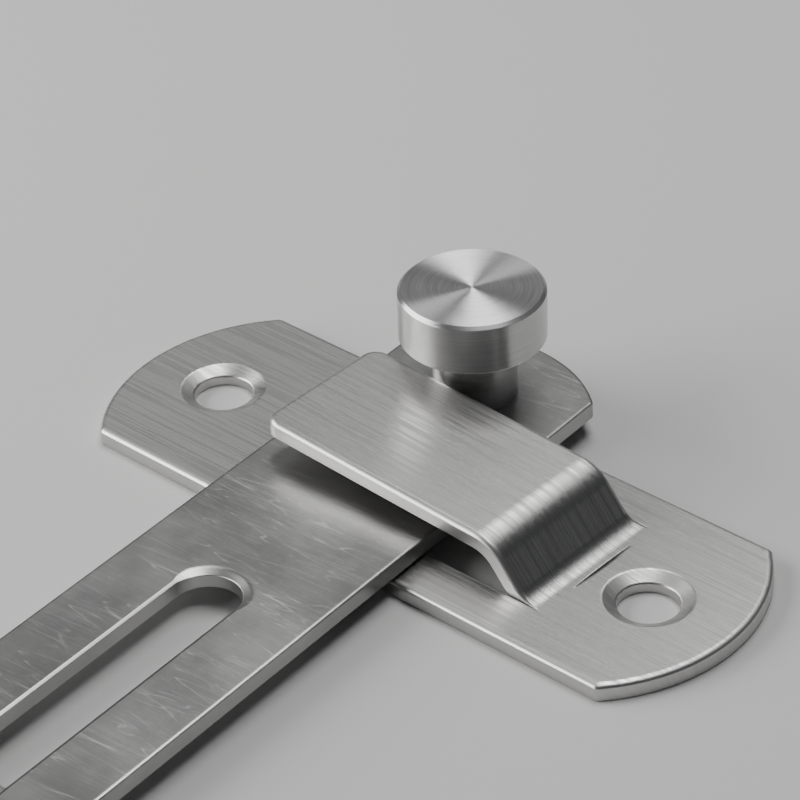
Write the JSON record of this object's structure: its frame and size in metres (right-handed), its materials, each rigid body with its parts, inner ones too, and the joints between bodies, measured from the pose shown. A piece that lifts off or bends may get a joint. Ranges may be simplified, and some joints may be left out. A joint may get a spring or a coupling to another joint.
{
  "type": "sliding swing bar latch",
  "caption": "Slotted flat bar that turns and slides on a headed post and drops behind the raised tongue of a keeper plate, with a turned knob on its free end.",
  "frame": {"origin": "pivot axis of the bar, on the mounting plane behind the base plate, midway between the base plate's screw holes", "axes": "+X from the pivot towards the keeper plate, +Y towards the open side of the keeper's tongue, +Z away from the mounting surface"},
  "size_m": [0.1375, 0.0832, 0.0178],
  "materials": {
    "brushed_plate": "brushed along the plate",
    "polished_bar": "semi-polished with fine random scratches",
    "turned_steel": "turned",
    "screw_steel": "plain",
    "spring_steel": "plain",
    "nylon": "natural nylon"
  },
  "bodies": {
    "plates": {"base_plate": "brushed_plate", "keeper_plate": "brushed_plate", "pivot_post": "turned_steel", "pivot_screw": "screw_steel"},
    "guide": {"slide_bush": "nylon", "lower_washer": "nylon", "upper_washer": "turned_steel", "spring_washer": "spring_steel"},
    "bar": {"latch_bar": "polished_bar", "knob": "turned_steel", "knob_screw": "screw_steel"}
  },
  "joints": [
    {"name": "bar_swing", "type": "hinge", "parent": "plates", "child": "guide", "pos_m": [0, 0, 0], "axis": [0, 0, 1], "range_deg": [-6.4, 176.26]},
    {"name": "bar_slide", "type": "slide", "parent": "guide", "child": "bar", "axis": [0.9979, 0.0652, 0], "range_m": [0, 0.02]}
  ]
}
